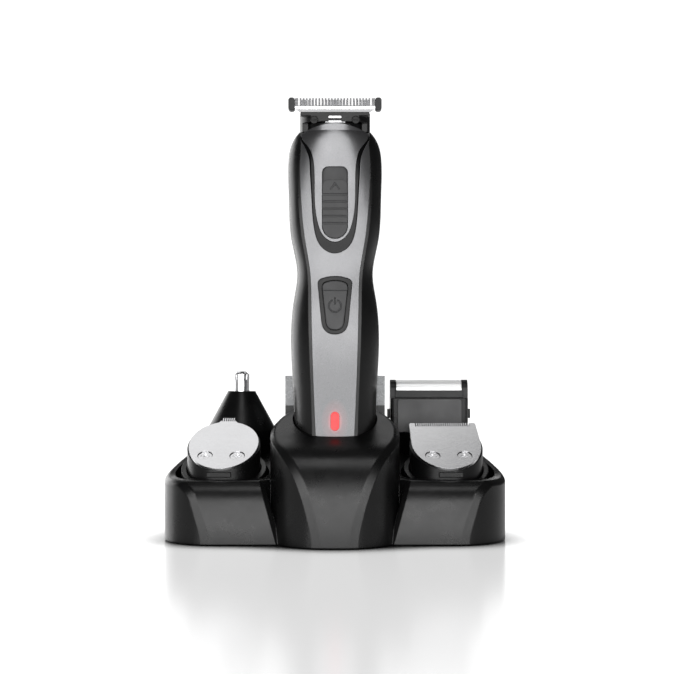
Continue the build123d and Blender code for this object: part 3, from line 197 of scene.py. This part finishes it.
def foil_steel():
    """Thin bright sheet with rows of tiny holes, each painted darker as the shade inside the hole."""
    s = Shader("foil_sheet_look")
    holes = s.add("ShaderNodeTexVoronoi", feature="F1")
    holes.inputs["Scale"].default_value = 1150
    holes.inputs["Randomness"].default_value = 0.15
    s.link(s.mapping((1, 1, 1)), holes.inputs["Vector"])
    # painted shade: the sheet's colour darkens towards each hole's middle
    base = s.ramp(holes.outputs["Distance"], [(0.12, (0.45, 0.45, 0.46)), (0.3, (0.93, 0.93, 0.93))])
    normal = s.bump(holes.outputs["Distance"], 0.3, DIMPLE_DEPTH, s.rounded(0.1 * MM))
    roughness = s.ramp(s.noise(120, 3, 0.6), [(0.3, 0.38), (0.7, 0.46)])
    s.principled(Base_Color=base, Metallic=0.55, Roughness=roughness, Normal=normal)
    return s.material


def smoky():
    """Grey plastic that lets a little light through."""
    s = Shader("comb_smoke_look")
    tint = s.ramp(s.noise(50, 4, 0.6), [(0.3, (0.42, 0.43, 0.44)), (0.7, (0.46, 0.47, 0.48))])
    roughness = s.ramp(s.noise(300, 4, 0.6), [(0.3, 0.22), (0.7, 0.34)])
    s.principled(Base_Color=tint, Roughness=roughness, Transmission_Weight=0.25, IOR=1.4,
                 Normal=s.bump(s.noise(200, 1, 0.4), 0.02, DIMPLE_DEPTH, s.rounded(0.3 * MM)))
    return s.material


looks = {
    "stand_shell": moulded("stand_shell_look", DEEP_BLACK, 0.29, grain=0.2, edge=0.6, ior=1.37),
    "stand_under": moulded("stand_under_look", (0.012, 0.012, 0.012), 0.6, grain=0.5),
    "foot_rubber": moulded("foot_rubber_look", (0.03, 0.03, 0.03), 0.85, grain=0.6, grain_size=1500),
    "screw_steel": ground_steel("screw_steel_look", rough=0.3, along="z"),
    "handset_black": moulded("handset_black_look", DEEP_BLACK, 0.30, grain=0.25, edge=0.5, ior=1.37),
    "silver_paint": silver_paint(),
    "groove_black": moulded("groove_black_look", (0.003, 0.003, 0.0032), 0.2, grain=0.1, ior=1.24),
    "switch_grey": moulded("switch_grey_look", (0.022, 0.022, 0.023), 0.48, grain=0.4, edge=0.3),
    "button_grey": moulded("button_grey_look", (0.024, 0.024, 0.025), 0.46, grain=0.4, edge=0.5),
    "bezel_black": moulded("bezel_black_look", (0.003, 0.003, 0.003), 0.22, grain=0.1, edge=0.6, ior=1.26),
    "lens_red": lit_lens(),
    "inner_plastic": moulded("inner_plastic_look", (0.10, 0.10, 0.10), 0.55),
    "cell_wrap": moulded("cell_wrap_look", (0.06, 0.16, 0.32), 0.3, grain=0.1, coat=0.3),
    "contact_metal": ground_steel("contact_metal_look", (0.78, 0.6, 0.3), 0.25, "z"),
    "board_green": moulded("board_green_look", (0.02, 0.12, 0.05), 0.35, grain=0.2),
    "motor_steel": ground_steel("motor_steel_look", rough=0.35, along="z"),
    "blade_steel": ground_steel("blade_steel_look", (0.70, 0.70, 0.71), 0.24, "x"),
    "head_black": moulded("head_black_look", DEEP_BLACK, 0.30, grain=0.25, edge=0.45, ior=1.3),
    "cap_grey": moulded("cap_grey_look", (0.005, 0.005, 0.0055), 0.4, grain=0.3, edge=0.4, ior=1.36),
    "cutter_plastic": moulded("cutter_plastic_look", (0.02, 0.02, 0.021), 0.4, grain=0.3, edge=0.2),
    "foil_grey": moulded("foil_grey_look", (0.03, 0.03, 0.031), 0.44, grain=0.35, edge=0.4),
    "comb_smoke": smoky(),
    "comb_black": moulded("comb_black_look", (0.012, 0.012, 0.012), 0.4, grain=0.3, edge=0.3),
}

slot_of = {part["node"]: part["material_slot"] for part in frame["record"]["subparts"]}
dark_steel = ground_steel("dark_steel_look", (0.10, 0.10, 0.105), 0.3, "x")
black_screw = moulded("black_screw_look", (0.004, 0.004, 0.004), 0.4, grain=0.2, edge=0.15, ior=1.3)
own_look = {
    "foil_sheet": foil_steel(),
    "tee_moving_blade": dark_steel,
    "wide_cutter": dark_steel,
    "detail_cutter": dark_steel,
    "tee_screws": black_screw,
}
for node, obj in frame["nodes"].items():
    for material_slot in obj.material_slots:
        material_slot.link = "OBJECT"
        material_slot.material = own_look.get(node) or looks[slot_of[node]]

# ---------------------------------------------------------------- stage


def sheet(name, corners, material):
    """One flat four-cornered piece of the stage."""
    mesh = bpy.data.meshes.new(name)
    mesh.from_pydata(corners, [], [(0, 1, 2, 3)])
    obj = bpy.data.objects.new(name, mesh)
    bpy.context.scene.collection.objects.link(obj)
    mesh.materials.append(material)


def floor_material():
    """White glossy floor with a painted contact shadow close to what stands on it."""
    s = Shader("floor_look")
    roughness = s.ramp(s.noise(6, 3, 0.5), [(0.3, 0.17), (0.7, 0.20)])
    # painted contact shadow: occlusion near the stand darkens the floor's glow and colour
    contact = s.add("ShaderNodeAmbientOcclusion", samples=8)
    contact.inputs["Distance"].default_value = CONTACT_REACH
    white = s.ramp(contact.outputs["AO"], [(0.56, 0.0), (0.9, 1.0)])
    paint = s.ramp(contact.outputs["AO"], [(0.56, 0.02), (0.9, 0.42)])
    s.principled(Base_Color=paint, Roughness=roughness, IOR=1.45, Emission_Color=white,
                 Emission_Strength=0.57)
    return s.material


def card_material(name, strength):
    """An evenly glowing white."""
    s = Shader(name)
    emission = s.add("ShaderNodeEmission")
    emission.inputs["Strength"].default_value = strength
    s.link(emission.outputs["Emission"], s.out.inputs["Surface"])
    return s.material


floor_corners = [
    (-FLOOR_SIDE, FLOOR_FRONT, 0),
    (FLOOR_SIDE, FLOOR_FRONT, 0),
    (FLOOR_SIDE, FLOOR_BACK, 0),
    (-FLOOR_SIDE, FLOOR_BACK, 0),
]
card_corners = [
    (CARD_LEFT, CARD_Y, 0),
    (CARD_RIGHT, CARD_Y, 0),
    (CARD_RIGHT, CARD_Y, CARD_TOP),
    (CARD_LEFT, CARD_Y, CARD_TOP),
]
sheet("floor", floor_corners, floor_material())
sheet("backdrop", card_corners, card_material("backdrop_look", 1.2))


def softbox(name, place, aim, size, radiance):
    """A rectangular light at place, turned to aim, whose face has the given radiance."""
    data = bpy.data.lights.new(name, "AREA")
    data.shape = "RECTANGLE"
    data.size, data.size_y = size
    data.energy = radiance * math.pi * size[0] * size[1]
    obj = bpy.data.objects.new(name, data)
    obj.location = place
    obj.rotation_euler = (Vector(aim) - Vector(place)).to_track_quat("-Z", "Y").to_euler()
    bpy.context.scene.collection.objects.link(obj)


softbox("front", (-0.08, -1.5, 0.29), (0, 0, 0.09), (2.7, 0.5), 6.3)
softbox("above_behind", (-0.24, 0.52, 0.95), (0, 0, 0.05), (1.0, 0.5), 1.15)
softbox("left_behind", (-0.85, 0.85, 0.22), (0, 0, 0.08), (1.1, 0.7), 2.7)
softbox("above_front", (0.0, -0.62, 1.05), (0, 0, 0.05), (0.35, 0.5), 3.4)

world = bpy.data.worlds.new("studio")
bpy.context.scene.world = world
world.use_nodes = True
background = world.node_tree.nodes["Background"]
background.inputs["Color"].default_value = WORLD_GREY
background.inputs["Strength"].default_value = WORLD_STRENGTH

# ---------------------------------------------------------------- camera

camera_data = bpy.data.cameras.new("camera")
camera_data.lens = CAMERA_LENS
camera_data.sensor_width = SENSOR_WIDTH
camera_data.clip_start = CLIP_START
camera = bpy.data.objects.new("camera", camera_data)
camera.location = (CAMERA_X, DOCK_Y - CAMERA_DISTANCE, CAMERA_Z)
camera.rotation_euler = (math.radians(90), 0, 0)
bpy.context.scene.collection.objects.link(camera)
bpy.context.scene.camera = camera
bpy.context.scene.view_settings.view_transform = "Standard"
